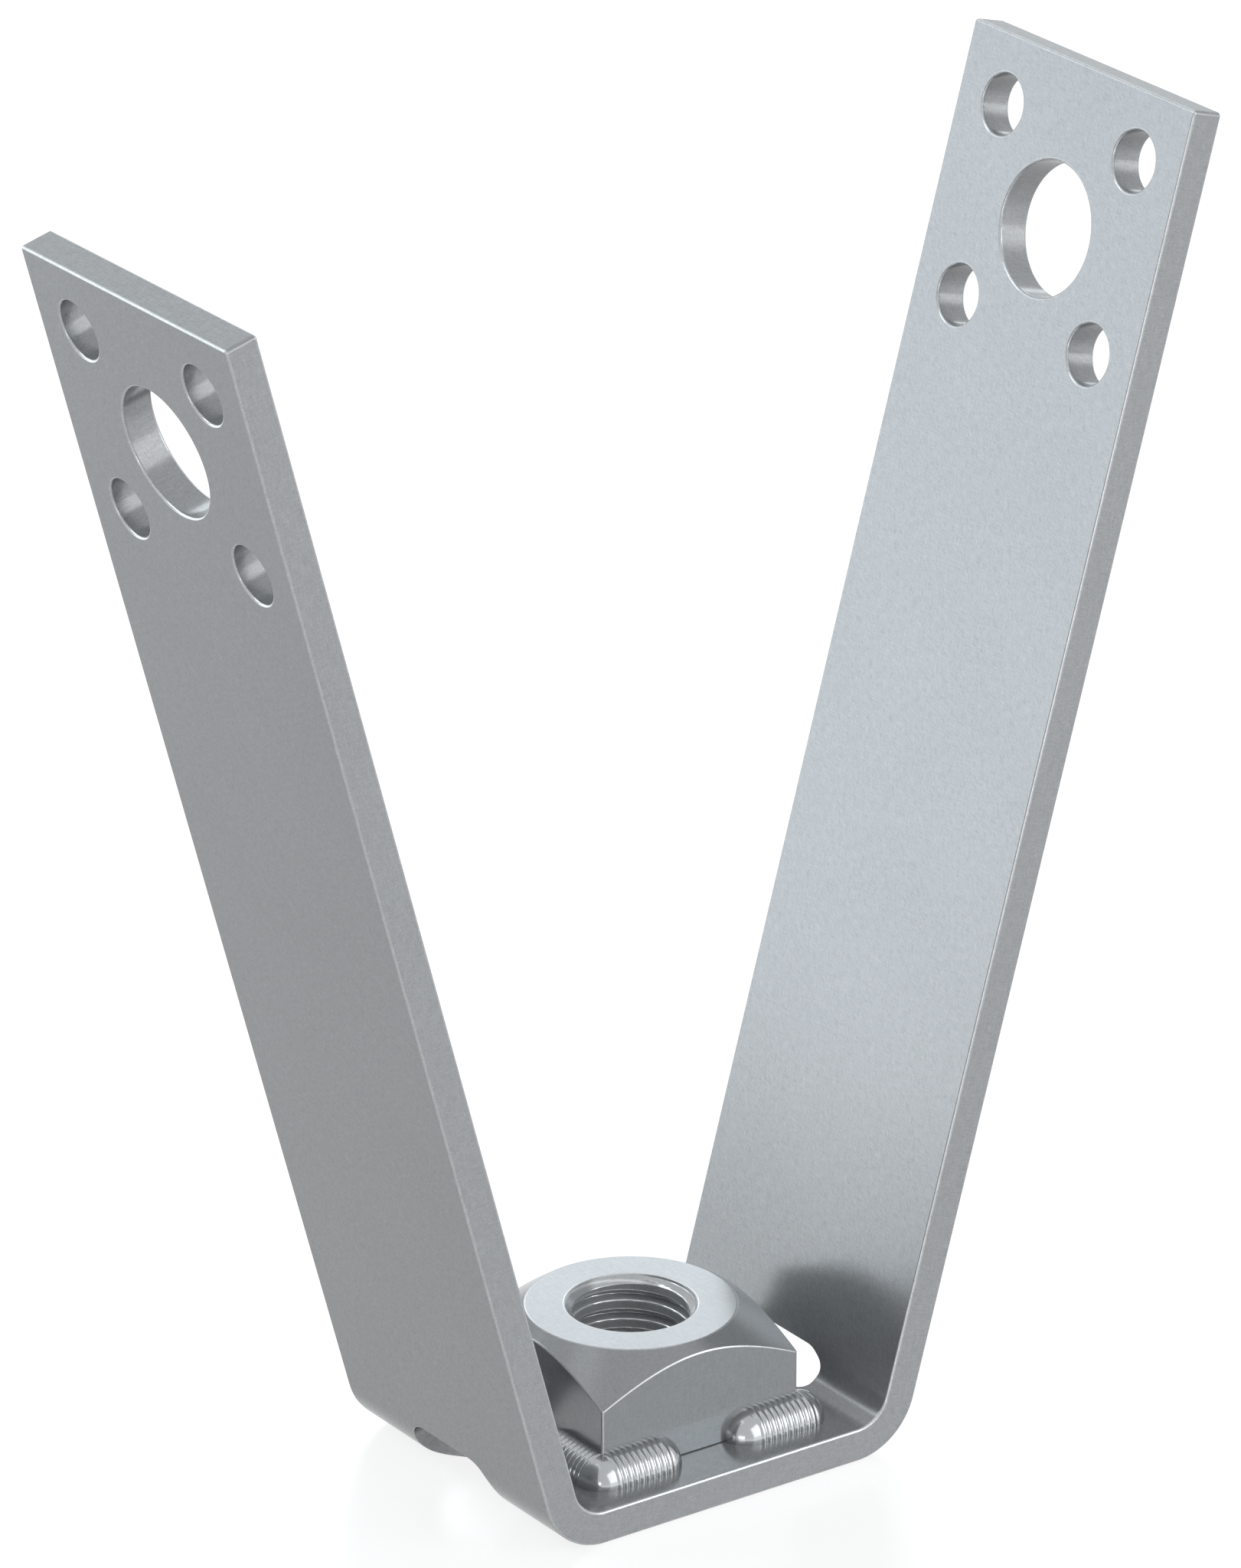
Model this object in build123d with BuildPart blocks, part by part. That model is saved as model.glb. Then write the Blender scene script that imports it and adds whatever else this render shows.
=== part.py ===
from build123d import *
from math import atan2, cos, pi, radians, sin, tan
import os

# Ceiling hanger for trapezoidal roof sheet. A steel strip is folded into a V with a flat base,
# and a square nut is welded upright on the base to take a threaded rod from below.
# +Z points up. The origin is on the base's underside, on the axis of the nut.
# X runs from leg to leg and Y runs across the strip. Sizes are in mm.

# Strip
strip_width = 25.0
strip_thickness = 2.5
leg_length = 98.8
leg_lean = 15.4
bend_inner_radius = 2.6
edge_chamfer = 0.2

# Fixing holes near the end of each leg: one large hole amid four small ones
hole_centre_from_end = 12.0
large_hole_diameter = 9.7
small_hole_diameter = 4.4
small_hole_pitch_across = 15.0
small_hole_pitch_along = 14.0

# Window punched through each bend before folding, so its walls stay square to the sheet
window_width = 10.0
window_corner_radius = 2.25
window_into_base = 0.1
window_into_leg = 0.35
window_corner_steps = 4

# Square M10 nut
nut_across_flats = 17.0
nut_height = 8.2
nut_face_diameter = 15.2
nut_chamfer_angle = 33.5
nut_corner_round = 0.2
thread_bore_diameter = 8.4
thread_chamfer = 0.58
rod_hole_diameter = 11.0

# Rippled weld beads along the foot of the nut
weld_radius = 1.93
weld_ripple_height = 0.07
weld_ripple_pitch = 0.48
weld_ripple_count = 10
weld_end_length = 1.55
weld_dome_steps = 3
weld_to_bend_gap = 0.55

# Worked out from the sizes above
lean = radians(leg_lean)
bend_angle = pi / 2 - lean
bend_outer_radius = bend_inner_radius + strip_thickness
bend_middle_radius = bend_inner_radius + strip_thickness / 2
bend_start = nut_across_flats / 2 + weld_radius + weld_to_bend_gap
bend_end = bend_start + bend_angle * bend_middle_radius
base_corner = bend_start + bend_outer_radius * tan(bend_angle / 2)
leg_top = leg_length * cos(lean)
leg_reach = base_corner + leg_length * sin(lean)
punch_overrun = bend_inner_radius / 5
nut_top = strip_thickness + nut_height
chamfer_drop = (nut_across_flats - nut_face_diameter / 2) * tan(radians(nut_chamfer_angle))
weld_length = weld_ripple_pitch * weld_ripple_count + weld_end_length
weld_cap_radius = (weld_radius**2 + weld_end_length**2) / (2 * weld_end_length)
weld_cap_turn = atan2(weld_radius, weld_cap_radius - weld_end_length)
weld_foot = nut_across_flats / 2
weld_far_start = weld_foot + weld_radius - weld_length


def sheet_point(along, depth):
    """X and Z of a point in the sheet: its length from the middle, along the sheet's core, and its depth."""
    turn = min(max((along - bend_start) / bend_middle_radius, 0), bend_angle)
    past_bend = max(along - bend_end, 0)
    radius = bend_outer_radius - depth
    x = min(along, bend_start) + radius * sin(turn) + past_bend * cos(turn)
    z = bend_outer_radius - radius * cos(turn) + past_bend * sin(turn)
    return (x, z)


def window_outline(corner_inset):
    """Points round a slice of the window's punch. Its last point stands well outside the bend."""
    first = bend_start - window_into_base + corner_inset
    last = bend_end + window_into_leg - corner_inset
    return [
        sheet_point(first, -punch_overrun),
        sheet_point(first, strip_thickness + punch_overrun),
        sheet_point(last, strip_thickness + punch_overrun),
        sheet_point(last, -punch_overrun),
        sheet_point((first + last) / 2, -bend_outer_radius),
    ]


# Punch for the window in the right bend. Its rounded corners are lofted through slices across the strip.
with BuildPart() as window_punch:
    straight_half = window_width / 2 - window_corner_radius
    for step in range(window_corner_steps + 1):
        corner_turn = step / window_corner_steps * pi / 2
        slice_place = straight_half + window_corner_radius * sin(corner_turn)
        with BuildSketch(Plane.XZ.offset(-slice_place)):
            with BuildLine():
                Polyline(*window_outline(window_corner_radius * (1 - cos(corner_turn))), close=True)
            make_face()
    loft()
    with BuildSketch(Plane.XZ):
        with BuildLine():
            Polyline(*window_outline(0), close=True)
        make_face()
    extrude(amount=straight_half, both=True)
    mirror(about=Plane.XZ)

# Folded strip
with BuildPart() as hanger_strip:
    with BuildSketch(Plane.XZ):
        with BuildLine():
            outside_line = FilletPolyline(
                (-leg_reach, leg_top),
                (-base_corner, 0),
                (base_corner, 0),
                (leg_reach, leg_top),
                radius=bend_outer_radius,
            )
            offset(outside_line, amount=strip_thickness, side=Side.LEFT)
        make_face()
    extrude(amount=strip_width / 2, both=True)
    slit_sides = hanger_strip.faces().filter_by(Axis.Y)
    sheared_ends = hanger_strip.faces().sort_by(Axis.Z)[-2:]
    chamfer(slit_sides.edges() + sheared_ends.edges().filter_by(Axis.Y), length=edge_chamfer)

    # Fixing holes
    for side in (-1, 1):
        leg_face = Plane(
            origin=(side * base_corner, 0, 0),
            x_dir=(0, side, 0),
            z_dir=(side * cos(lean), 0, -sin(lean)),
        )
        with BuildSketch(leg_face):
            with Locations((0, leg_length - hole_centre_from_end)):
                Circle(large_hole_diameter / 2)
                with GridLocations(small_hole_pitch_across, small_hole_pitch_along, 2, 2):
                    Circle(small_hole_diameter / 2)
        extrude(amount=-strip_thickness, mode=Mode.SUBTRACT)
        chamfer(hanger_strip.edges(Select.LAST).filter_by(GeomType.CIRCLE), length=edge_chamfer)

    # Windows in the bends
    add(window_punch.part, mode=Mode.SUBTRACT)
    add(window_punch.part.mirror(Plane.YZ), mode=Mode.SUBTRACT)

    # Hole for the rod, under the nut
    with BuildSketch():
        Circle(rod_hole_diameter / 2)
    extrude(amount=strip_thickness, mode=Mode.SUBTRACT)

# Square bar that the nut is cut from, standing on the base
with BuildPart() as nut_blank:
    with BuildSketch(Plane.XY.offset(strip_thickness)):
        RectangleRounded(nut_across_flats, nut_across_flats, nut_corner_round)
    extrude(amount=nut_height)

# Square nut, chamfered on its upper side
with BuildPart() as square_nut:
    add(nut_blank.part)
    with BuildSketch(Plane.XZ):
        with BuildLine():
            Polyline(
                (0, nut_top),
                (nut_face_diameter / 2, nut_top),
                (nut_across_flats, nut_top - chamfer_drop),
                (nut_across_flats, -chamfer_drop),
                (0, -chamfer_drop),
                close=True,
            )
        make_face()
    revolve(axis=Axis.Z, mode=Mode.INTERSECT)
    with BuildSketch(Plane.XY.offset(strip_thickness)):
        Circle(thread_bore_diameter / 2)
    extrude(amount=nut_height, mode=Mode.SUBTRACT)
    bore_wall = square_nut.faces(Select.LAST).filter_by(GeomType.CYLINDER)
    chamfer(bore_wall.edges().filter_by(GeomType.CIRCLE), length=thread_chamfer)


def dome_profile(centre, radius, first_turn, last_turn):
    """Points along an arc about a point of the bead's axis, below that axis."""
    turn_step = (last_turn - first_turn) / weld_dome_steps
    turns = [first_turn + step * turn_step for step in range(weld_dome_steps + 1)]
    return [(centre + radius * cos(turn), -radius * sin(turn)) for turn in turns]


# One weld bead along X, revolved round its own axis: a dome, the ripples and a blunter dome
with BuildPart() as weld_bead:
    ripple_profile = []
    for ripple in range(weld_ripple_count):
        ripple_profile.append((ripple * weld_ripple_pitch, -weld_radius))
        ripple_profile.append(((ripple + 0.5) * weld_ripple_pitch, -weld_radius - weld_ripple_height))
    with BuildSketch(Plane.XZ):
        with BuildLine():
            Polyline(
                *dome_profile(0, weld_radius, pi, pi / 2)[:-1],
                *ripple_profile,
                *dome_profile(weld_length - weld_cap_radius, weld_cap_radius, weld_cap_turn, 0),
                close=True,
            )
        make_face()
    revolve(axis=Axis.X)

# Weld round the nut's front left corner, with two equal arms that meet on the corner's diagonal
with BuildPart() as corner_weld_front:
    with Locations((-weld_foot, -weld_foot, strip_thickness)):
        add(weld_bead.part)
    add(nut_blank.part, mode=Mode.SUBTRACT)
    split(bisect_by=Plane.XY.offset(strip_thickness), keep=Keep.TOP)
    corner_diagonal = Plane(origin=(0, 0, 0), x_dir=(1, 1, 0), z_dir=(1, -1, 0))
    split(bisect_by=corner_diagonal, keep=Keep.TOP)
    mirror(about=corner_diagonal)

# Straight weld along the front, which runs just past the nut's right corner
with BuildPart() as edge_weld_front:
    with Locations((weld_far_start, -weld_foot, strip_thickness)):
        add(weld_bead.part)
    add(nut_blank.part, mode=Mode.SUBTRACT)
    split(bisect_by=Plane.XY.offset(strip_thickness), keep=Keep.TOP)

# The same two welds at the back, turned half round the nut's axis
with BuildPart() as corner_weld_back:
    add(corner_weld_front.part.rotate(Axis.Z, 180))

with BuildPart() as edge_weld_back:
    add(edge_weld_front.part.rotate(Axis.Z, 180))

os.makedirs("parts", exist_ok=True)

hanger_strip.part.label = "hanger_strip"
export_step(hanger_strip.part, "parts/hanger_strip.step")

square_nut.part.label = "square_nut"
export_step(square_nut.part, "parts/square_nut.step")

corner_weld_front.part.label = "corner_weld_front"
export_step(corner_weld_front.part, "parts/corner_weld_front.step")

edge_weld_front.part.label = "edge_weld_front"
export_step(edge_weld_front.part, "parts/edge_weld_front.step")

corner_weld_back.part.label = "corner_weld_back"
export_step(corner_weld_back.part, "parts/corner_weld_back.step")

edge_weld_back.part.label = "edge_weld_back"
export_step(edge_weld_back.part, "parts/edge_weld_back.step")
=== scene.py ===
import bpy
import bmesh
import random
from math import atan2, cos, hypot, pi, radians, sin, sqrt, tan
from mathutils import Matrix, Vector
from mathutils.geometry import delaunay_2d_cdt


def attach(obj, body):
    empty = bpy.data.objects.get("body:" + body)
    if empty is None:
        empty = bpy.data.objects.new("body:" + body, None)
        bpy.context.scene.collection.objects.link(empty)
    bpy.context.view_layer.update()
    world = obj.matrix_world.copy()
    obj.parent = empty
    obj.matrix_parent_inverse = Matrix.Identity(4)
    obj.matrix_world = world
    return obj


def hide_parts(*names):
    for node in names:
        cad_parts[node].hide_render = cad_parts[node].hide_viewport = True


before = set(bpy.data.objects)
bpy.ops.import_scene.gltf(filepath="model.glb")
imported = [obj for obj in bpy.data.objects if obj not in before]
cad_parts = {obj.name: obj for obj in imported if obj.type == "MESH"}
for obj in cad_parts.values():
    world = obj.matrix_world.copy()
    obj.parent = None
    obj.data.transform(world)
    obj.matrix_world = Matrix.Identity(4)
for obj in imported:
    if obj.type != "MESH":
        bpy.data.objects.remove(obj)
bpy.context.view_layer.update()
print("frame loaded:", ", ".join(sorted(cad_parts)))

mm = 0.001   # sizes are in millimetres, and Blender works in metres

# Steel, one set of values for each finish. The zinc coat is partly matt, so it isn't a full mirror of its
# surroundings. Sizes are in millimetres. Hairs are the fine marks of brushing, and both they and the scratches run
# in the directions given here: along the strip, across it and through its thickness. Only the strip is scratched.
# The size of its flat sheet, along, across and through it, tells its faces from its long edges and sheared ends.
stripSteelLook = {
    "colour": (0.320, 0.326, 0.333), "wearAndPaintedLightColour": (0.72, 0.73, 0.74), "metal": 0.45, "gloss": 0.2,
    "roughness": 0.21, "seed": 3.0,
    "grainSize": 0.12, "grainTone": 0.14, "grainDepth": 0.05, "cloudSize": 9.0, "cloudTone": 0.08,
    "hairSize": 0.10, "hairLength": 9.0, "hairTone": 0.30, "hairDepth": 0.05,
    "hairs": ((1.0, 0.06, 0.0), (0.05, 1.0, 0.0), (0.7, 0.7, 0.0), (0.1, 0.0, 1.0)),
    "sheetSize": (221.74, 25.0, 2.5), "endMargin": 0.05, "edgeMargin": 0.04, "faceMargin": 0.02,
    "endDullingAndPaintedShade": 0.04, "endRoughness": 0.25,
    "scratchSize": 0.16, "scratchLength": 40.0, "scratchCut": 0.69, "scratchContrast": 14.0,
    "scratchShine": 0.07, "scratchRoughness": 0.06, "scratchDepth": 0.008,
    "patchSize": 2.5, "patchLength": 2.5, "patchContrast": 8.0,
    "faceScratching": 0.3, "faceScratches": ((1.0, 0.25, 0.0), (-0.5, 0.85, 0.0)),
    "edgeScratches": ((0.25, 0.0, 0.97), (0.85, 0.0, 0.5), (-0.6, 0.0, 0.8), (1.0, 0.0, 0.12)),
}
# The nut's colour is darker than the strip's as painted shade on its sides, and its cone and top are lifted back
# with painted light
nutSteelLook = {
    "colour": (0.252, 0.258, 0.265), "wearAndPaintedLightColour": (0.76, 0.77, 0.78), "metal": 0.52, "gloss": 0.2,
    "roughness": 0.20, "seed": 11.0,
    "grainSize": 0.10, "grainTone": 0.12, "grainDepth": 0.06, "cloudSize": 5.0, "cloudTone": 0.08,
    "hairSize": 0.09, "hairLength": 9.0, "hairTone": 0.25, "hairDepth": 0.06,
    "hairs": ((1.0, 0.0, 0.05), (0.05, 1.0, 0.0), (0.0, 0.05, 1.0)),
    "sheetSize": None,
}
weldMetalLook = {
    "colour": (0.46, 0.47, 0.48), "wearAndPaintedLightColour": (0.75, 0.76, 0.77), "metal": 0.85, "gloss": 0.5,
    "roughness": 0.16, "seed": 23.0,
    "grainSize": 0.10, "grainTone": 0.08, "grainDepth": 0.03, "cloudSize": 1.5, "cloudTone": 0.10,
    "hairSize": 0.06, "hairLength": 3.0, "hairTone": 0.05, "hairDepth": 0.02,
    "hairs": ((1.0, 0.3, 0.2),),
    "sheetSize": None,
}
steelRelief = {"grainRoughness": 0.08, "bumpStrength": 0.5, "bumpDistance": 0.03}   # the same for all three


def steel(name, look):
    material = bpy.data.materials.new(name)
    material.use_nodes = True
    nodes, links = material.node_tree.nodes, material.node_tree.links
    shader = nodes["Principled BSDF"]
    shader.inputs["Metallic"].default_value = look["metal"]
    shader.inputs["Specular IOR Level"].default_value = look["gloss"]

    def node(kind, **settings):
        made = nodes.new("ShaderNode" + kind)
        for key, value in settings.items():
            setattr(made, key, value)
        return made

    def math(operation, first, second=0.0, third=None, clamp=False):
        made = node("Math", operation=operation, use_clamp=clamp)
        for place, value in enumerate((first, second, third)):
            if value is None:
                continue
            if isinstance(value, (int, float)):
                made.inputs[place].default_value = value
            else:
                links.new(value, made.inputs[place])
        return made.outputs[0]

    def noise(vector, size, detail=2.0):
        made = node("TexNoise")
        made.inputs["Scale"].default_value = 1 / (size * mm)
        made.inputs["Detail"].default_value = detail
        links.new(vector, made.inputs["Vector"])
        return made.outputs["Fac"]

    # Every piece carries its own place in the attribute "sheet", which on the strip follows the folded sheet
    sheet = node("Attribute", attribute_type="GEOMETRY", attribute_name="sheet")
    shift = node("Mapping")
    shift.inputs["Location"].default_value = (look["seed"] * mm, look["seed"] * 2 * mm, look["seed"] * 3 * mm)
    links.new(sheet.outputs["Vector"], shift.inputs["Vector"])
    place = shift.outputs["Vector"]

    def drawnOut(direction, length):
        # The same place, with the pattern drawn out along one direction
        turned = node("Mapping", vector_type="TEXTURE")
        turned.inputs["Rotation"].default_value = Vector(direction).to_track_quat("X", "Z").to_euler()
        turned.inputs["Scale"].default_value = (length, 1, 1)
        links.new(place, turned.inputs["Vector"])
        return turned.outputs["Vector"]

    grain = noise(place, look["grainSize"], detail=3.0)
    clouds = noise(place, look["cloudSize"], detail=4.0)
    hairs = None
    for direction in look["hairs"]:
        hair = noise(drawnOut(direction, look["hairLength"]), look["hairSize"], detail=1.0)
        hairs = hair if hairs is None else math("ADD", hairs, hair)
    hairs = math("DIVIDE", hairs, len(look["hairs"]))

    def scratched(directions):
        # A scratch is a long thin peak of a drawn-out noise, and a second noise thins the scratches out in places
        lines = None
        contrast = look["patchContrast"]
        for direction in directions:
            streak = noise(drawnOut(direction, look["scratchLength"]), look["scratchSize"], detail=0.0)
            peak = math("SUBTRACT", streak, look["scratchCut"])
            line = math("MULTIPLY", peak, look["scratchContrast"], clamp=True)
            patch = noise(drawnOut(direction, look["patchLength"]), look["patchSize"], detail=1.0)
            line = math("MULTIPLY", line, math("MULTIPLY_ADD", patch, contrast, -contrast / 2, clamp=True))
            lines = line if lines is None else math("MAXIMUM", lines, line)
        return lines

    scratches = None
    if look["sheetSize"]:
        # The strip's long edges are scratched more than its faces are, and its sheared ends are rougher and a
        # little darker, partly as a dull finish and partly as painted shade
        sheetLength, sheetWidth, sheetThickness = look["sheetSize"]
        split = node("SeparateXYZ")
        links.new(sheet.outputs["Vector"], split.inputs[0])
        fromCentre = math("ABSOLUTE", split.outputs["X"])
        fromMiddle = math("ABSOLUTE", split.outputs["Y"])
        fromCore = math("ABSOLUTE", math("SUBTRACT", split.outputs["Z"], sheetThickness / 2 * mm))
        onEnd = math("GREATER_THAN", fromCentre, (sheetLength / 2 - look["endMargin"]) * mm)
        onEdge = math("GREATER_THAN", fromMiddle, (sheetWidth / 2 - look["edgeMargin"]) * mm)
        onFace = math("GREATER_THAN", fromCore, (sheetThickness / 2 - look["faceMargin"]) * mm)
        onFace = math("MULTIPLY", onFace, look["faceScratching"])
        scratches = math("MAXIMUM", math("MULTIPLY", scratched(look["faceScratches"]), onFace),
                         math("MULTIPLY", scratched(look["edgeScratches"]), onEdge))

    # Colour: clouds, grain and hairs on the steel, which is bright in its scratches, and lighter where the rim
    # attribute paints wear and painted light: a painted highlight on worn edges, rims and thread crests, and
    # painted light on cut walls and on the nut's cone and top
    bright = node("Attribute", attribute_type="GEOMETRY", attribute_name="rim").outputs["Fac"]
    if scratches is not None:
        bright = math("MAXIMUM", bright, math("MULTIPLY", scratches, look["scratchShine"]))
    tone = math("MULTIPLY_ADD", math("SUBTRACT", clouds, 0.5), look["cloudTone"], 1.0)
    tone = math("MULTIPLY_ADD", math("SUBTRACT", grain, 0.5), look["grainTone"], tone)
    tone = math("MULTIPLY_ADD", math("SUBTRACT", hairs, 0.5), look["hairTone"] * len(look["hairs"]), tone)
    if scratches is not None:
        # The sheared ends are painted a little darker: partly a dull finish, partly painted shade
        tone = math("MULTIPLY_ADD", onEnd, -look["endDullingAndPaintedShade"], tone)
    mixed = node("Mix", data_type="RGBA")
    mixed.inputs["A"].default_value = (*look["colour"], 1)
    mixed.inputs["B"].default_value = (*look["wearAndPaintedLightColour"], 1)
    links.new(bright, mixed.inputs["Factor"])
    toned = node("VectorMath", operation="SCALE")
    links.new(mixed.outputs["Result"], toned.inputs[0])
    links.new(tone, toned.inputs["Scale"])
    links.new(toned.outputs[0], shader.inputs["Base Color"])

    # Roughness and bump
    grainRoughness = steelRelief["grainRoughness"]
    roughness = math("MULTIPLY_ADD", math("SUBTRACT", grain, 0.5), grainRoughness, look["roughness"])
    height = math("MULTIPLY", grain, look["grainDepth"])
    height = math("MULTIPLY_ADD", hairs, look["hairDepth"], height)
    if scratches is not None:
        roughness = math("MULTIPLY_ADD", scratches, look["scratchRoughness"], roughness)
        roughness = math("MULTIPLY_ADD", onEnd, look["endRoughness"], roughness)
        height = math("MULTIPLY_ADD", scratches, -look["scratchDepth"], height)
    links.new(roughness, shader.inputs["Roughness"])
    bump = node("Bump")
    bump.inputs["Strength"].default_value = steelRelief["bumpStrength"]
    bump.inputs["Distance"].default_value = steelRelief["bumpDistance"] * mm
    links.new(height, bump.inputs["Height"])
    links.new(bump.outputs["Normal"], shader.inputs["Normal"])
    return material


stripSteel = steel("stripSteel", stripSteelLook)
nutSteel = steel("nutSteel", nutSteelLook)
weldMetal = steel("weldMetal", weldMetalLook)
steelOfNode = {"hanger_strip": stripSteel, "square_nut": nutSteel}   # the other nodes are welds
for nodeName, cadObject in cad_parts.items():
    cadObject.data.materials.clear()
    cadObject.data.materials.append(steelOfNode.get(nodeName, weldMetal))
print("steel ready")

mergeDistance = 0.002   # in millimetres


def addPiece(name, points, faces, material, nodeName, normals=None, rims=None, sheet=None):
    # A closed mesh in millimetres becomes the piece that stands for one CAD node. Rims are the wear and painted
    # light at each point, and sheet its place on the flat strip. A mesh that comes without normals gets its double
    # points merged.
    mesh = bpy.data.meshes.new(name)
    mesh.from_pydata([Vector(point) * mm for point in points], [], faces)
    rim = mesh.attributes.new("rim", "FLOAT", "POINT")
    if rims:
        rim.data.foreach_set("value", rims)
    places = mesh.attributes.new("sheet", "FLOAT_VECTOR", "POINT")
    places.data.foreach_set("vector", [value * mm for place in sheet or points for value in place])
    tidy = bmesh.new()
    tidy.from_mesh(mesh)
    if normals is None:
        bmesh.ops.remove_doubles(tidy, verts=tidy.verts, dist=mergeDistance * mm)
    bmesh.ops.recalc_face_normals(tidy, faces=tidy.faces)
    tidy.to_mesh(mesh)
    tidy.free()
    mesh.polygons.foreach_set("use_smooth", [True] * len(mesh.polygons))
    if normals is not None:
        mesh.normals_split_custom_set_from_vertices(normals)
    mesh.materials.append(material)
    piece = bpy.data.objects.new(name, mesh)
    bpy.context.scene.collection.objects.link(piece)
    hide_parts(nodeName)
    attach(piece, "root")


# The strip is laid out flat, with its holes and windows, and then folded
stripSizes = {
    "width": 25.0, "thickness": 2.5, "legLength": 98.77, "lean": 15.4, "bendInside": 2.6, "bendStart": 10.98,
    "edgeRound": 0.2, "edgeRoundSteps": 4, "planRound": 0.3, "planRoundSteps": 4,
    "holeFromEnd": 12.0, "largeHole": 9.7, "smallHole": 4.4, "smallHolesAcross": 15.0, "smallHolesAlong": 14.0,
    "rodHole": 11.0, "holeSides": 96,
    "windowWidth": 10.0, "windowCorner": 2.25, "windowCornerSteps": 12, "windowRound": 0.05,
    "windowIntoBase": 0.1, "windowIntoLeg": 0.35, "stationTolerance": 0.06,
    # The rounded edges are painted lighter as wear with a painted highlight, and the slit and punched walls a
    # little lighter, partly as bare cut steel and partly as painted light
    "edgeWearAndHighlight": 0.8, "slitBareAndPaintedLight": 0.06, "punchBareAndPaintedLight": 0.05,
}
thickness = stripSizes["thickness"]
bendAngle = pi / 2 - radians(stripSizes["lean"])
bendOutside = stripSizes["bendInside"] + thickness
bendMiddle = stripSizes["bendInside"] + thickness / 2
bendStart = stripSizes["bendStart"]
bendEnd = bendStart + bendAngle * bendMiddle
halfLength = bendEnd + stripSizes["legLength"] - bendOutside * tan(bendAngle / 2)


def fold(along, across, depth, normal):
    # Place and normal of a point of the flat strip, once it is folded. Depth 0 is the outside.
    side = 1 if along >= 0 else -1
    reach = abs(along)
    turn = min(max((reach - bendStart) / bendMiddle, 0), bendAngle)
    pastBend = max(reach - bendEnd, 0)
    radius = bendOutside - depth
    x = min(reach, bendStart) + radius * sin(turn) + pastBend * cos(turn)
    z = bendOutside - radius * cos(turn) + pastBend * sin(turn)
    nReach, nAcross, nDepth = normal[0] * side, normal[1], normal[2]
    folded = (side * (nReach * cos(turn) - nDepth * sin(turn)), nAcross, nReach * sin(turn) + nDepth * cos(turn))
    return (side * x, across, z), folded


def roundHole(along, across, diameter):
    # Points round a hole, each with the direction out of the steel
    loop = []
    for step in range(stripSizes["holeSides"]):
        turn = 2 * pi * step / stripSizes["holeSides"]
        loop.append((along + diameter / 2 * cos(turn), across + diameter / 2 * sin(turn), -cos(turn), -sin(turn)))
    return loop


def roundedRectangle(centre, halfAlong, halfAcross, corner, steps, stations, outward):
    # Points round a rectangle with round corners. Outward is 1 round the strip and -1 round a window.
    loop = []
    for quarter in range(4):
        cornerAlong = centre + (halfAlong - corner) * (1 if quarter in (0, 3) else -1)
        cornerAcross = (halfAcross - corner) * (1 if quarter in (0, 1) else -1)
        for step in range(steps + 1):
            turn = (quarter + step / steps) * pi / 2
            loop.append((cornerAlong + corner * cos(turn), cornerAcross + corner * sin(turn),
                         outward * cos(turn), outward * sin(turn)))
        if quarter == 0:
            loop += [(along, halfAcross, 0, outward) for along in sorted(stations, reverse=True)]
        if quarter == 2:
            loop += [(along, -halfAcross, 0, -outward) for along in sorted(stations)]
    return loop


windowStart = bendStart - stripSizes["windowIntoBase"]
windowEnd = bendEnd + stripSizes["windowIntoLeg"]
windowCentre, windowHalf = (windowStart + windowEnd) / 2, (windowEnd - windowStart) / 2
windowCorner, windowSteps = stripSizes["windowCorner"], stripSizes["windowCornerSteps"]
windowStraight = windowHalf - windowCorner
straightStations = [windowStraight * part for part in (-0.5, 0, 0.5)]
cornerStations = [windowStraight + windowCorner * cos(pi / 2 * step / windowSteps)
                  for step in range(windowSteps + 1)]
bendStations = sorted(set(round(windowCentre + station, 6) for station in
                          straightStations + cornerStations + [-station for station in cornerStations]))


def stripLoops():
    # The outlines of the strip and of its windows and holes, each with the round of its edge, and the windows'
    # numbers among them
    halfWidth, edgeRound = stripSizes["width"] / 2, stripSizes["edgeRound"]
    holeAlong = halfLength - stripSizes["holeFromEnd"]
    halfAcross, halfPitch = stripSizes["smallHolesAcross"] / 2, stripSizes["smallHolesAlong"] / 2
    bothSides = bendStations + [-station for station in bendStations]
    outline = roundedRectangle(0, halfLength, halfWidth, stripSizes["planRound"], stripSizes["planRoundSteps"],
                               bothSides, 1)
    loops, windowLoops = [(outline, edgeRound)], []
    for side in (-1, 1):
        stations = [side * windowCentre + station for station in straightStations]
        window = roundedRectangle(side * windowCentre, windowHalf, stripSizes["windowWidth"] / 2, windowCorner,
                                  windowSteps, stations, -1)
        windowLoops.append(len(loops))
        loops.append((window, stripSizes["windowRound"]))
        holes = [(0, 0, stripSizes["largeHole"])]
        holes += [(along, across, stripSizes["smallHole"])
                  for along in (-halfPitch, halfPitch) for across in (-halfAcross, halfAcross)]
        for along, across, diameter in holes:
            loops.append((roundHole(side * holeAlong + along, across, diameter), edgeRound))
    loops.append((roundHole(0, 0, stripSizes["rodHole"]), edgeRound))
    return loops, windowLoops


def edgeProfile(size, wallBareAndPaintedLight):
    # A cut edge from the outside to the inside: inset, depth, direction out and down, and wear with painted light.
    # The rounded edge is worn and carries a painted highlight, and the cut wall behind it is painted a little
    # lighter, partly as bare cut steel and partly as painted light.
    turns = [step / stripSizes["edgeRoundSteps"] * pi / 2 for step in range(stripSizes["edgeRoundSteps"] + 1)]
    profile = [(size * (1 - sin(turn)), size * (1 - cos(turn)), sin(turn), -cos(turn),
                max(stripSizes["edgeWearAndHighlight"] * sin(2 * turn), wallBareAndPaintedLight * sin(turn))) for turn in turns]
    return profile + [(inset, thickness - depth, out, -down, wearAndPaintedLight)
                      for inset, depth, out, down, wearAndPaintedLight in reversed(profile)]


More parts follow.
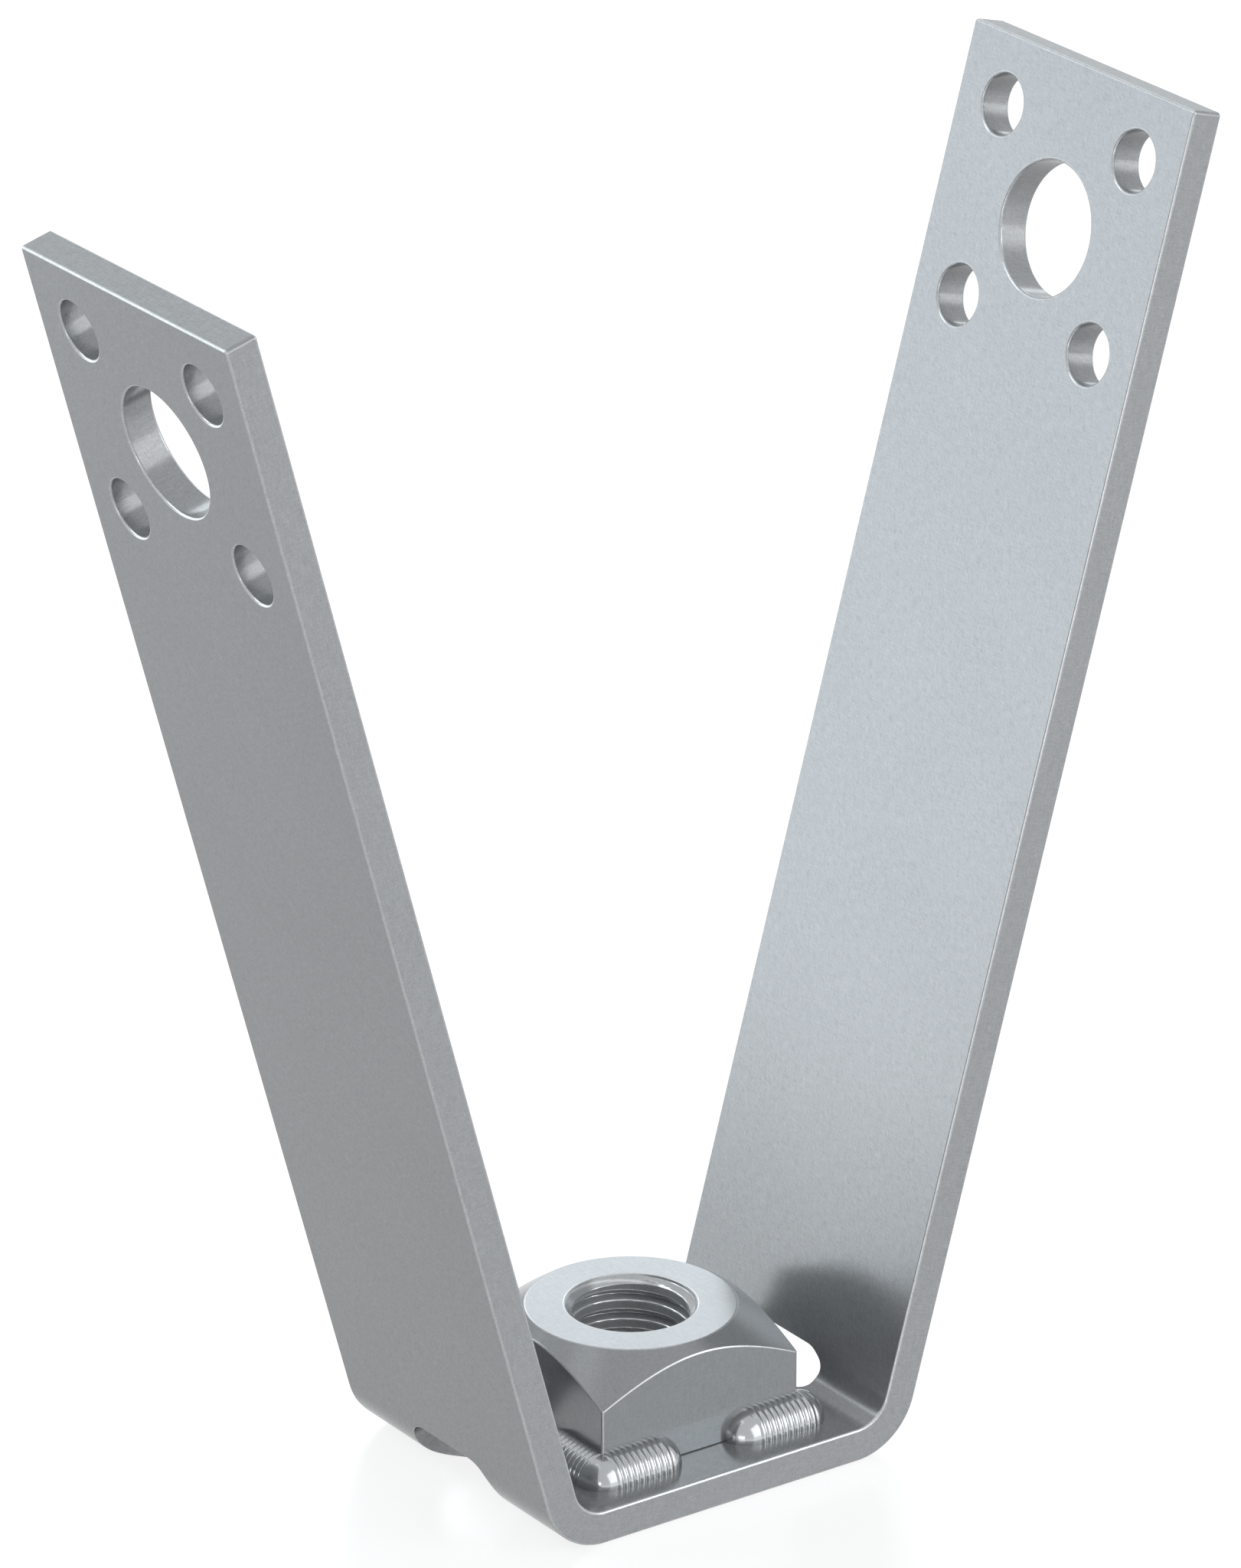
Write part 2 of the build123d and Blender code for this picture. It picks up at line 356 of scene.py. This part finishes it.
def flatTriangles(flatPlaces, windowLoops):
    # A flat side is triangulated between the loops, with an edge across each bend at every station
    flat, flatEdges, starts = [], [], []
    for places in flatPlaces:
        start = len(flat)
        starts.append(start)
        flat += [Vector(place) for place in places]
        flatEdges += [(start + step, start + (step + 1) % len(places)) for step in range(len(places))]
    outline = flatPlaces[0]
    for number in windowLoops:
        for step, (along, across) in enumerate(flatPlaces[number]):
            sameSide = [k for k in range(len(outline)) if outline[k][1] * across > 0]
            if sameSide:
                nearest = min(sameSide, key=lambda k: abs(outline[k][0] - along))
                if abs(outline[nearest][0] - along) < stripSizes["stationTolerance"]:
                    flatEdges.append((nearest, starts[number] + step))
    made = delaunay_2d_cdt(flat, flatEdges, [], 1, 1e-6, True)
    madeFaces, origins = made[2], made[3]
    odd = sum(len(origin) != 1 for origin in origins)
    if odd:
        print("note: the flat side has", odd, "merged or added points")
    loopOf = [number for number, places in enumerate(flatPlaces) for place in places]
    triangles = []
    for face in madeFaces:
        corners = [origins[k][0] for k in face]
        inOpening = len({loopOf[k] for k in corners}) == 1 and loopOf[corners[0]] > 0
        if not inOpening:
            triangles.append(corners)
    return triangles


def foldedStripMesh():
    loops, windowLoops = stripLoops()
    points, normals, rims, sheet, faces = [], [], [], [], []
    bottom, top, flatPlaces = [], [], []
    for number, (loop, size) in enumerate(loops):   # the first is the outline, and the others were punched
        profile = edgeProfile(size, stripSizes["punchBareAndPaintedLight" if number else "slitBareAndPaintedLight"])
        rings = []
        for inset, depth, out, down, wearAndPaintedLight in profile:
            ring = []
            for along, across, nAlong, nAcross in loop:
                flatPlace = (along - inset * nAlong, across - inset * nAcross, depth)
                place, normal = fold(*flatPlace, (nAlong * out, nAcross * out, down))
                ring.append(len(points))
                points.append(place)
                normals.append(normal)
                rims.append(wearAndPaintedLight)
                sheet.append(flatPlace)
            rings.append(ring)
        for upper, lower in zip(rings, rings[1:]):
            for step in range(len(loop)):
                following = (step + 1) % len(loop)
                faces.append((upper[step], upper[following], lower[following], lower[step]))
        inset = profile[0][0]
        flatPlaces.append([(a - inset * nA, b - inset * nB) for a, b, nA, nB in loop])
        bottom += rings[0]
        top += rings[-1]
    for corners in flatTriangles(flatPlaces, windowLoops):
        faces.append([bottom[k] for k in reversed(corners)])
        faces.append([top[k] for k in corners])
    return points, faces, normals, rims, sheet


stripPoints, stripFaces, stripNormals, stripRims, stripSheet = foldedStripMesh()
addPiece("foldedStrip", stripPoints, stripFaces, stripSteel, "hanger_strip",
         stripNormals, stripRims, stripSheet)
print("strip folded:", len(stripFaces), "faces")


# The square nut, with a real thread in its bore. From the middle of the thread's crest to the middle of its groove
# is 1, of which crestEdge, flankWidth and the width of the painted highlight on each crest edge are parts.
nutSizes = {
    "acrossFlats": 17.0, "height": 8.2, "faceDiameter": 15.2, "chamferAngle": 33.5, "cornerRound": 0.2,
    "edgeRound": 0.1, "rimRound": 0.1, "footBevel": 0.1, "sidePoints": 40, "cornerPoints": 6,
    "boreRadius": 4.2, "rootRadius": 4.78, "boreChamfer": 0.58, "pitch": 1.5, "rowsInPitch": 26,
    "crestEdge": 0.42, "flankWidth": 0.46, "crestHighlightWidth": 0.14, "slopeStep": 0.01,
    # Painted light on the nut: rounded edges and rims are painted lighter as wear with a painted highlight, the
    # cone and top as painted light, and the bore as bare cut metal with painted light
    "edgeWearAndHighlight": 0.8, "coneAndTopPaintedLight": 0.12, "faceRimWearAndHighlight": 0.6, "boreRimWearAndHighlight": 0.8, "cutMetalAndPaintedLight": 0.42,
}
nutTop = thickness + nutSizes["height"]


def nutOutline():
    # Points round the nut, each with its direction outwards and its wear and painted highlight
    half, corner = nutSizes["acrossFlats"] / 2, nutSizes["cornerRound"]
    outline = []
    for quarter in range(4):
        turnSide = quarter * pi / 2
        start, end = -atan2(half - corner, half), atan2(half - corner, half)
        for step in range(nutSizes["sidePoints"] + 1):
            place = half * tan(start + (end - start) * step / nutSizes["sidePoints"])
            outline.append((half * cos(turnSide) - place * sin(turnSide),
                            half * sin(turnSide) + place * cos(turnSide), cos(turnSide), sin(turnSide), 0.0))
        for step in range(1, nutSizes["cornerPoints"]):
            turn = turnSide + step / nutSizes["cornerPoints"] * pi / 2
            middle = turnSide + pi / 4
            reach = (half - corner) * sqrt(2)
            outline.append((reach * cos(middle) + corner * cos(turn), reach * sin(middle) + corner * sin(turn),
                            cos(turn), sin(turn), nutSizes["edgeWearAndHighlight"] * sin(2 * (turn - turnSide))))
    return outline


def fromCrest(turn, z):
    # How far a place on the bore's wall is from the middle of the thread's crest, 1 being the middle of the groove
    return abs((z / nutSizes["pitch"] - turn / (2 * pi)) % 1 - 0.5) * 2


def threadRadius(turn, z):
    # Radius of the bore at one place on its wall: a right-hand thread, opened out at both ends
    rise = min(max((fromCrest(turn, z) - nutSizes["crestEdge"]) / nutSizes["flankWidth"], 0), 1)
    crest, root = nutSizes["boreRadius"], nutSizes["rootRadius"]
    thread = crest + (root - crest) * rise * rise * (3 - 2 * rise)
    opened = crest + nutSizes["boreChamfer"]
    return max(thread, opened - (nutTop - z), opened - (z - thickness))


def squareNutMesh():
    # Each point of the outline gives a column of points up the nut's side, over its cone and top and down its
    # bore. The cone and the top are turned, and are painted lighter than the bar's own sides: painted light on
    # them, with the sides in painted shade.
    coneAngle = radians(nutSizes["chamferAngle"])
    slope = tan(coneAngle)
    faceRadius, edge, rimSize = nutSizes["faceDiameter"] / 2, nutSizes["edgeRound"], nutSizes["rimRound"]
    opened = nutSizes["boreRadius"] + nutSizes["boreChamfer"]
    foot, turned, boreRimWearAndHighlight = nutSizes["footBevel"], nutSizes["coneAndTopPaintedLight"], nutSizes["boreRimWearAndHighlight"]
    threadRows = round(nutSizes["height"] / nutSizes["pitch"] * nutSizes["rowsInPitch"])
    step = nutSizes["slopeStep"]
    up = Vector((0, 0, 1))
    columns = []
    for x, y, nx, ny, cornerWearAndHighlight in nutOutline():
        turn, reach = atan2(y, x), hypot(x, y)
        ux, uy = cos(turn), sin(turn)
        coneNormal = Vector((ux * sin(coneAngle), uy * sin(coneAngle), cos(coneAngle)))
        wall = Vector((nx, ny, 0))
        column = []

        def put(radius, z, normal, wearAndPaintedLight=0.0):
            column.append((radius * ux, radius * uy, z, normal.normalized(), wearAndPaintedLight))

        # Side, and the rounded edge between it and the cone
        edgeZ = nutTop - (reach - faceRadius) * slope
        column.append((x - foot * nx, y - foot * ny, thickness, -up, 0.0))
        column.append((x, y, thickness + foot, wall, cornerWearAndHighlight))
        column.append((x, y, edgeZ - edge, wall, cornerWearAndHighlight))
        onCone = Vector(((reach - edge) * ux, (reach - edge) * uy, edgeZ + edge * slope))
        corner, onWall = Vector((x, y, edgeZ)), Vector((x, y, edgeZ - edge))
        for part in (0.25, 0.5, 0.75):
            place = onWall * (1 - part) ** 2 + corner * 2 * part * (1 - part) + onCone * part ** 2
            column.append((*place, (wall * (1 - part) + coneNormal * part).normalized(),
                           nutSizes["edgeWearAndHighlight"] * sin(pi * part)))
        # Cone and top, painted lighter as painted light, with a worn rim round the top and round the bore that
        # carries a painted highlight
        column.append((*onCone, coneNormal, turned))
        put(faceRadius + rimSize, nutTop - rimSize * slope, coneNormal, turned)
        put(faceRadius, nutTop - rimSize * slope / 4, coneNormal + up, nutSizes["faceRimWearAndHighlight"])
        put(faceRadius - rimSize, nutTop, up, turned)
        put(opened + rimSize, nutTop, up, turned)
        inward = Vector((-ux, -uy, 1)).normalized()
        put(opened + rimSize * 0.35, nutTop - rimSize * 0.1, up * 2 + inward, boreRimWearAndHighlight)
        put(opened - rimSize * 0.05, nutTop - rimSize * 0.35, up + inward * 2, boreRimWearAndHighlight)
        # Bore, painted lighter as bare cut metal and painted light, with a painted highlight on the edges of the
        # thread's crests
        for row in range(threadRows + 1):
            z = nutTop - rimSize - (nutSizes["height"] - 2 * rimSize) * row / threadRows
            radius = threadRadius(turn, z)
            byZ = (threadRadius(turn, z + step) - threadRadius(turn, z - step)) / (2 * step)
            byTurn = (threadRadius(turn + step, z) - threadRadius(turn - step, z)) / (2 * step * radius)
            fromEdge = (fromCrest(turn, z) - nutSizes["crestEdge"]) / nutSizes["crestHighlightWidth"]
            wearAndPaintedLight = max(nutSizes["cutMetalAndPaintedLight"], 1 - fromEdge ** 2)
            put(radius, z, Vector((-ux - uy * byTurn, -uy + ux * byTurn, byZ)), wearAndPaintedLight)
        put(opened, thickness, -up)
        columns.append(column)
    rowCount = len(columns[0])
    placed = [entry for column in columns for entry in column]
    points = [entry[:3] for entry in placed]
    normals = [tuple(entry[3]) for entry in placed]
    rims = [entry[4] for entry in placed]
    faces = []
    for index in range(len(columns)):
        following = (index + 1) % len(columns)
        for row in range(rowCount):
            below = (row + 1) % rowCount
            faces.append((index * rowCount + row, following * rowCount + row,
                          following * rowCount + below, index * rowCount + below))
    return points, faces, normals, rims


nutPoints, nutFaces, nutNormals, nutRims = squareNutMesh()
addPiece("threadedNut", nutPoints, nutFaces, nutSteel, "square_nut", nutNormals, nutRims)
print("nut threaded:", len(nutFaces), "faces")


# The weld beads: a bead is a row of sections, each standing across the bead's line
weldSizes = {
    "radius": 1.93, "foot": 0.08, "rippleHeight": 0.10, "ripplePitch": 0.48, "rippleCount": 10, "endLength": 1.55,
    "rippleSpread": 0.14, "pitchSpread": 0.05, "sunk": 10.0, "footDepth": 0.3,
    "rowsInRipple": 10, "domeSteps": 24, "sectionSteps": 30,
}
beadLength = weldSizes["ripplePitch"] * weldSizes["rippleCount"] + weldSizes["endLength"]
beadFoot = -nutSizes["acrossFlats"] / 2 + weldSizes["foot"]
beadHeight = thickness + weldSizes["foot"]
domeSteps = weldSizes["domeSteps"]


def beadRadii(chance):
    # Place along the bead and radius there, from the round dome's middle to the blunter end
    count, pitch, spread = weldSizes["rippleCount"], weldSizes["ripplePitch"], weldSizes["pitchSpread"]
    heights = [1 + chance.uniform(-1, 1) * weldSizes["rippleSpread"] for ripple in range(count)]
    starts = [ripple * pitch for ripple in range(count + 1)]
    for ripple in range(1, count):
        starts[ripple] += chance.uniform(-spread, spread) * pitch
    radii = []
    for ripple in range(count):
        for row in range(weldSizes["rowsInRipple"]):
            part = row / weldSizes["rowsInRipple"]
            swell = 1 - (2 * part - 1) ** 2
            radii.append((starts[ripple] + part * (starts[ripple + 1] - starts[ripple]),
                          weldSizes["radius"] + weldSizes["rippleHeight"] * heights[ripple] * swell))
    for row in range(domeSteps + 1):
        turn = row / domeSteps * pi / 2
        radii.append((count * pitch + weldSizes["endLength"] * sin(turn), weldSizes["radius"] * cos(turn)))
    return radii


def beadMesh(sections, lastTurn):
    # Each section is (middle, direction outwards from the nut, radius). It starts sunk in the base.
    points, faces = [], []
    steps = weldSizes["sectionSteps"]
    firstTurn = -radians(weldSizes["sunk"])
    for middle, outward, radius in sections:
        for step in range(steps + 1):
            turn = firstTurn + (lastTurn - firstTurn) * step / steps
            points.append(middle + outward * (radius * cos(turn)) + Vector((0, 0, radius * sin(turn))))
        points.append(middle - Vector((0, 0, weldSizes["footDepth"])))
    ringSize = steps + 2
    for index in range(len(sections) - 1):
        for step in range(ringSize):
            following = (step + 1) % ringSize
            faces.append((index * ringSize + step, index * ringSize + following,
                          (index + 1) * ringSize + following, (index + 1) * ringSize + step))
    for end in (0, len(sections) - 1):
        faces.append([end * ringSize + step for step in range(ringSize)])
    return points, faces


def cornerBeadMesh(seed):
    # Two arms and the dome between them, round the front left corner of the nut
    chance = random.Random(seed)
    front = [(Vector((beadFoot + along, beadFoot, beadHeight)), Vector((0, -1, 0)), radius)
             for along, radius in beadRadii(chance)]
    left = [(Vector((beadFoot, beadFoot + along, beadHeight)), Vector((-1, 0, 0)), radius)
            for along, radius in beadRadii(chance)]
    dome = []
    for step in range(1, domeSteps):
        turn = -pi / 2 - pi / 2 * step / domeSteps
        dome.append((Vector((beadFoot, beadFoot, beadHeight)), Vector((cos(turn), sin(turn), 0)),
                     weldSizes["radius"]))
    return beadMesh(front[::-1] + dome + left, pi / 2)


def edgeBeadMesh(seed):
    # A straight bead, whose blunter end runs past the front right corner of the nut
    chance = random.Random(seed)
    start = nutSizes["acrossFlats"] / 2 + weldSizes["radius"] - beadLength
    sections = []
    for step in range(domeSteps):
        turn = pi / 2 * step / domeSteps
        sections.append((start - weldSizes["radius"] * cos(turn), weldSizes["radius"] * sin(turn)))
    sections += [(start + along, radius) for along, radius in beadRadii(chance)]
    placed = [(Vector((x, beadFoot, beadHeight)), Vector((0, -1, 0)), radius) for x, radius in sections]
    return beadMesh(placed, pi + radians(weldSizes["sunk"]))


# The welds at the back are laid like the front ones, each with ripples of its own, and turned half round the nut
for name, nodeName, maker, seed, atBack in (
    ("cornerBeadFront", "corner_weld_front", cornerBeadMesh, 5, False),
    ("edgeBeadFront", "edge_weld_front", edgeBeadMesh, 6, False),
    ("cornerBeadBack", "corner_weld_back", cornerBeadMesh, 7, True),
    ("edgeBeadBack", "edge_weld_back", edgeBeadMesh, 8, True),
):
    beadPoints, beadFaces = maker(seed)
    if atBack:
        beadPoints = [Vector((-point.x, -point.y, point.z)) for point in beadPoints]
    addPiece(name, beadPoints, beadFaces, weldMetal, nodeName)
    print(name, "laid:", len(beadFaces), "faces")


# Floor and light. Camera, glossy and transmission rays see a white floor and a white surround. The floor's size is
# in metres.
stageLook = {
    "floorSize": 6.0, "floorColour": (0.17, 0.17, 0.17), "floorGlow": 0.83,
    "floorRoughness": 0.3, "floorGloss": 0.18,
    "surroundColour": (0.97, 0.985, 1.0), "surroundLight": 0.27,
}


def whiteToEye(nodes, links):
    # 1 for the rays that should see a white background, 0 for the rays that light the object
    path = nodes.new("ShaderNodeLightPath")
    white = path.outputs["Is Camera Ray"]
    for ray in ("Is Glossy Ray", "Is Transmission Ray"):
        either = nodes.new("ShaderNodeMath")
        either.operation = "MAXIMUM"
        links.new(white, either.inputs[0])
        links.new(path.outputs[ray], either.inputs[1])
        white = either.outputs[0]
    return white


floorMaterial = bpy.data.materials.new("paleFloor")
floorMaterial.use_nodes = True
floorNodes, floorLinks = floorMaterial.node_tree.nodes, floorMaterial.node_tree.links
floorShader = floorNodes["Principled BSDF"]
floorShader.inputs["Base Color"].default_value = (*stageLook["floorColour"], 1)
floorShader.inputs["Roughness"].default_value = stageLook["floorRoughness"]
floorShader.inputs["Specular IOR Level"].default_value = stageLook["floorGloss"]
floorShader.inputs["Emission Color"].default_value = (1, 1, 1, 1)
floorGlow = floorNodes.new("ShaderNodeMath")
floorGlow.operation = "MULTIPLY"
floorGlow.inputs[1].default_value = stageLook["floorGlow"]
floorLinks.new(whiteToEye(floorNodes, floorLinks), floorGlow.inputs[0])
floorLinks.new(floorGlow.outputs[0], floorShader.inputs["Emission Strength"])

half = stageLook["floorSize"] / 2
floorMesh = bpy.data.meshes.new("floor")
floorMesh.from_pydata([(-half, -half, 0), (half, -half, 0), (half, half, 0), (-half, half, 0)], [], [(0, 1, 2, 3)])
floorMesh.materials.append(floorMaterial)
paleFloor = bpy.data.objects.new("floor", floorMesh)
bpy.context.scene.collection.objects.link(paleFloor)

world = bpy.data.worlds.new("surround")
bpy.context.scene.world = world
world.use_nodes = True
worldNodes, worldLinks = world.node_tree.nodes, world.node_tree.links
surround = worldNodes["Background"]
surround.inputs["Color"].default_value = (*stageLook["surroundColour"], 1)
surroundStrength = worldNodes.new("ShaderNodeMapRange")
surroundStrength.inputs["To Min"].default_value = stageLook["surroundLight"]
surroundStrength.inputs["To Max"].default_value = 1.0
worldLinks.new(whiteToEye(worldNodes, worldLinks), surroundStrength.inputs["Value"])
worldLinks.new(surroundStrength.outputs["Result"], surround.inputs["Strength"])

# Soft lamps, in metres and degrees: bearing from +Y towards +X, distance and height of the lamp's middle, how far
# it is tipped down to the object, its size and its brightness
lamps = {
    "softboxLeftBack": {"bearing": -35, "distance": 0.25, "height": 0.14, "tip": -18, "wide": 0.15, "tall": 0.30,
                        "bright": 1.9, "colour": (0.86, 0.95, 1.0)},
    "softboxRightBack": {"bearing": 35, "distance": 0.80, "height": 0.43, "tip": 27, "wide": 0.60, "tall": 0.34,
                         "bright": 2.0, "colour": (0.88, 0.96, 1.0)},
    "softboxFront": {"bearing": 155, "distance": 0.90, "height": 0.42, "tip": 25, "wide": 1.10, "tall": 0.80,
                     "bright": 1.35, "colour": (1.0, 1.0, 1.0)},
    "softboxAbove": {"bearing": -75, "distance": 0.44, "height": 0.79, "tip": 61, "wide": 0.50, "tall": 0.50,
                     "bright": 0.5, "colour": (0.95, 0.98, 1.0)},
    "softboxLeftAbove": {"bearing": -55, "distance": 0.50, "height": 0.50, "tip": 45, "wide": 0.26, "tall": 0.26,
                         "bright": 4.2, "colour": (0.88, 0.96, 1.0)},
    "narrowFrontLamp": {"bearing": 145, "distance": 0.85, "height": 0.38, "tip": 24, "wide": 0.13, "tall": 0.42,
                        "bright": 9.5, "colour": (0.86, 0.95, 1.0)},
    "lowLeftLamp": {"bearing": -125, "distance": 0.90, "height": 0.10, "tip": 3, "wide": 0.40, "tall": 0.14,
                    "bright": 3.0, "colour": (1.0, 1.0, 1.0)},
}
for lampName, lamp in lamps.items():
    light = bpy.data.lights.new(lampName, "AREA")
    light.shape = "RECTANGLE"
    light.size, light.size_y = lamp["wide"], lamp["tall"]
    light.energy = lamp["bright"] * pi * lamp["wide"] * lamp["tall"]
    light.color = lamp["colour"]
    bearing, tip = radians(lamp["bearing"]), radians(lamp["tip"])
    stand = bpy.data.objects.new(lampName, light)
    stand.location = (sin(bearing) * lamp["distance"], cos(bearing) * lamp["distance"], lamp["height"])
    away = Vector((sin(bearing) * cos(tip), cos(bearing) * cos(tip), sin(tip)))
    stand.rotation_mode = "QUATERNION"
    stand.rotation_quaternion = away.to_track_quat("Z", "Y")
    stand.visible_camera = False
    bpy.context.scene.collection.objects.link(stand)
print("floor and lamps ready")

# Camera: its place and clipping in metres, angles in degrees, lens and sensor in millimetres
cameraLook = {
    "place": (-0.3650459, -0.5133442, 0.3157307), "azimuth": 324.6527, "elevation": 22.82043, "roll": 0.0366,
    "lens": 225.658, "sensorWidth": 36, "clipStart": 0.01, "clipEnd": 20,
}
cameraData = bpy.data.cameras.new("photoCamera")
cameraData.lens = cameraLook["lens"]
cameraData.sensor_width = cameraLook["sensorWidth"]
cameraData.sensor_fit = "AUTO"
cameraData.clip_start, cameraData.clip_end = cameraLook["clipStart"], cameraLook["clipEnd"]
camera = bpy.data.objects.new("photoCamera", cameraData)
camera.matrix_world = (Matrix.Translation(cameraLook["place"])
                       @ Matrix.Rotation(radians(cameraLook["azimuth"]), 4, "Z")
                       @ Matrix.Rotation(pi / 2 - radians(cameraLook["elevation"]), 4, "X")
                       @ Matrix.Rotation(radians(cameraLook["roll"]), 4, "Z"))
bpy.context.scene.collection.objects.link(camera)
bpy.context.scene.camera = camera

bpy.context.scene.view_settings.view_transform = "Standard"

print("scene ready")
